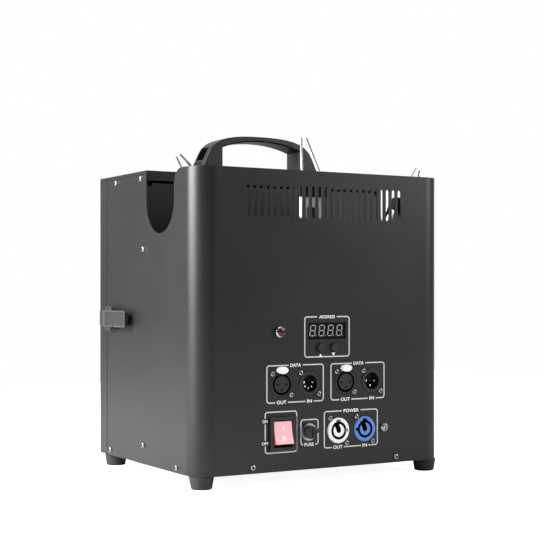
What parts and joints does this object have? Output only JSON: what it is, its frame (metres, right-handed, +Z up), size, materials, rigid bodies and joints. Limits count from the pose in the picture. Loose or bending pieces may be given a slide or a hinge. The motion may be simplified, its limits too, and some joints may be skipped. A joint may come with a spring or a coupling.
{
  "type": "stage flame machine",
  "caption": "Steel cabinet with a carrying handle, a control panel, a latched rear door and a trough of upright and tilted flame heads.",
  "frame": {"origin": "under the middle of the whole object, on the surface it stands on", "axes": "+Z up, -Y out of the control panel, +X to the right of someone who faces the panel"},
  "size_m": [0.2856, 0.222, 0.3316],
  "materials": {
    "powder_coat": "fine textured black powder coat",
    "inner_steel": "black painted sheet",
    "black_plastic": "moulded",
    "black_rubber": "moulded rubber",
    "bright_steel": "zinc plated",
    "chrome": "polished",
    "ceramic": "glazed white ceramic",
    "brass": "turned",
    "white_plastic": "moulded",
    "blue_plastic": "moulded",
    "red_plastic": "translucent red moulding",
    "red_lens": "dark red lens",
    "smoked_window": "smoked window",
    "hose": "gas hose",
    "circuit_board": "printed board"
  },
  "bodies": {
    "housing": {"front_shell": "powder_coat", "base_plate": "powder_coat", "partition_wall": "powder_coat", "top_lid": "powder_coat", "trough_floor": "inner_steel", "latch_base": "inner_steel", "carry_handle": "black_plastic", "display_module": "black_plastic", "data_out_left": "black_plastic", "data_in_left": "black_plastic", "data_out_right": "black_plastic", "data_in_right": "black_plastic", "switch_bezel": "black_plastic", "can_cradle": "black_plastic", "ignition_module": "black_plastic", "foot_front_left": "black_rubber", "foot_front_right": "black_rubber", "foot_rear_left": "black_rubber", "foot_rear_right": "black_rubber", "hinge_frame_leaf": "bright_steel", "fuse_holder": "bright_steel", "ground_screw": "bright_steel", "valve_manifold": "bright_steel", "power_supply": "bright_steel", "lamp_bezel": "chrome", "lamp_lens": "red_lens", "display_window": "smoked_window", "power_outlet": "white_plastic", "power_inlet": "blue_plastic", "head_bracket_left": "inner_steel", "ceramic_holder_left": "ceramic", "nozzle_left": "brass", "electrode_left_a": "bright_steel", "electrode_left_b": "bright_steel", "fuel_line_left": "hose", "head_bracket_centre": "inner_steel", "ceramic_holder_centre": "ceramic", "nozzle_centre": "brass", "electrode_centre_a": "bright_steel", "electrode_centre_b": "bright_steel", "fuel_line_centre": "hose", "head_bracket_right": "inner_steel", "ceramic_holder_right": "ceramic", "nozzle_right": "brass", "electrode_right_a": "bright_steel", "electrode_right_b": "bright_steel", "fuel_line_right": "hose", "control_board": "circuit_board"},
    "rear_door": {"rear_door": "powder_coat", "hinge_door_leaf": "bright_steel", "latch_keeper": "bright_steel"},
    "latch_lever": {"latch_lever": "inner_steel"},
    "latch_claw": {"latch_claw": "bright_steel"},
    "power_rocker": {"switch_rocker": "red_plastic"},
    "fuse_cap": {"fuse_cap": "black_plastic"},
    "button_up": {"button_up": "black_plastic"},
    "button_down": {"button_down": "black_plastic"},
    "release_tab_left": {"release_tab_left": "white_plastic"},
    "release_tab_right": {"release_tab_right": "white_plastic"}
  },
  "joints": [
    {"name": "door_hinge", "type": "hinge", "parent": "housing", "child": "rear_door", "pos_m": [0.13965, 0.0934, 0.147], "axis": [0, 0, -1], "range_deg": [0, 110]},
    {"name": "latch_lever_hinge", "type": "hinge", "parent": "housing", "child": "latch_lever", "pos_m": [-0.13975, 0.08, 0.149], "axis": [0, 0, -1], "range_deg": [0, 120]},
    {"name": "latch_claw_hinge", "type": "hinge", "parent": "latch_lever", "child": "latch_claw", "pos_m": [-0.13985, 0.0725, 0.149], "axis": [0, 0, -1], "range_deg": [-120, 0]},
    {"name": "power_rocker_hinge", "type": "hinge", "parent": "housing", "child": "power_rocker", "pos_m": [-0.04695, -0.101, 0.0464], "axis": [1, 0, 0], "range_deg": [0, 22]},
    {"name": "fuse_cap_turn", "type": "hinge", "parent": "housing", "child": "fuse_cap", "pos_m": [-0.01935, -0.104, 0.0466], "axis": [0, -1, 0], "range_deg": [0, 90]},
    {"name": "button_up_press", "type": "slide", "parent": "housing", "child": "button_up", "axis": [0, 1, 0], "range_m": [0, 0.0008], "stiffness_N_per_m": 300},
    {"name": "button_down_press", "type": "slide", "parent": "housing", "child": "button_down", "axis": [0, 1, 0], "range_m": [0, 0.0008], "stiffness_N_per_m": 300},
    {"name": "release_tab_left_press", "type": "slide", "parent": "housing", "child": "release_tab_left", "axis": [0, 1, 0], "range_m": [0, 0.0016], "stiffness_N_per_m": 400},
    {"name": "release_tab_right_press", "type": "slide", "parent": "housing", "child": "release_tab_right", "axis": [0, 1, 0], "range_m": [0, 0.0016], "stiffness_N_per_m": 400}
  ],
  "couplings": [
    {"joint": "latch_claw_hinge", "follows": "latch_lever_hinge", "ratio": -1}
  ]
}
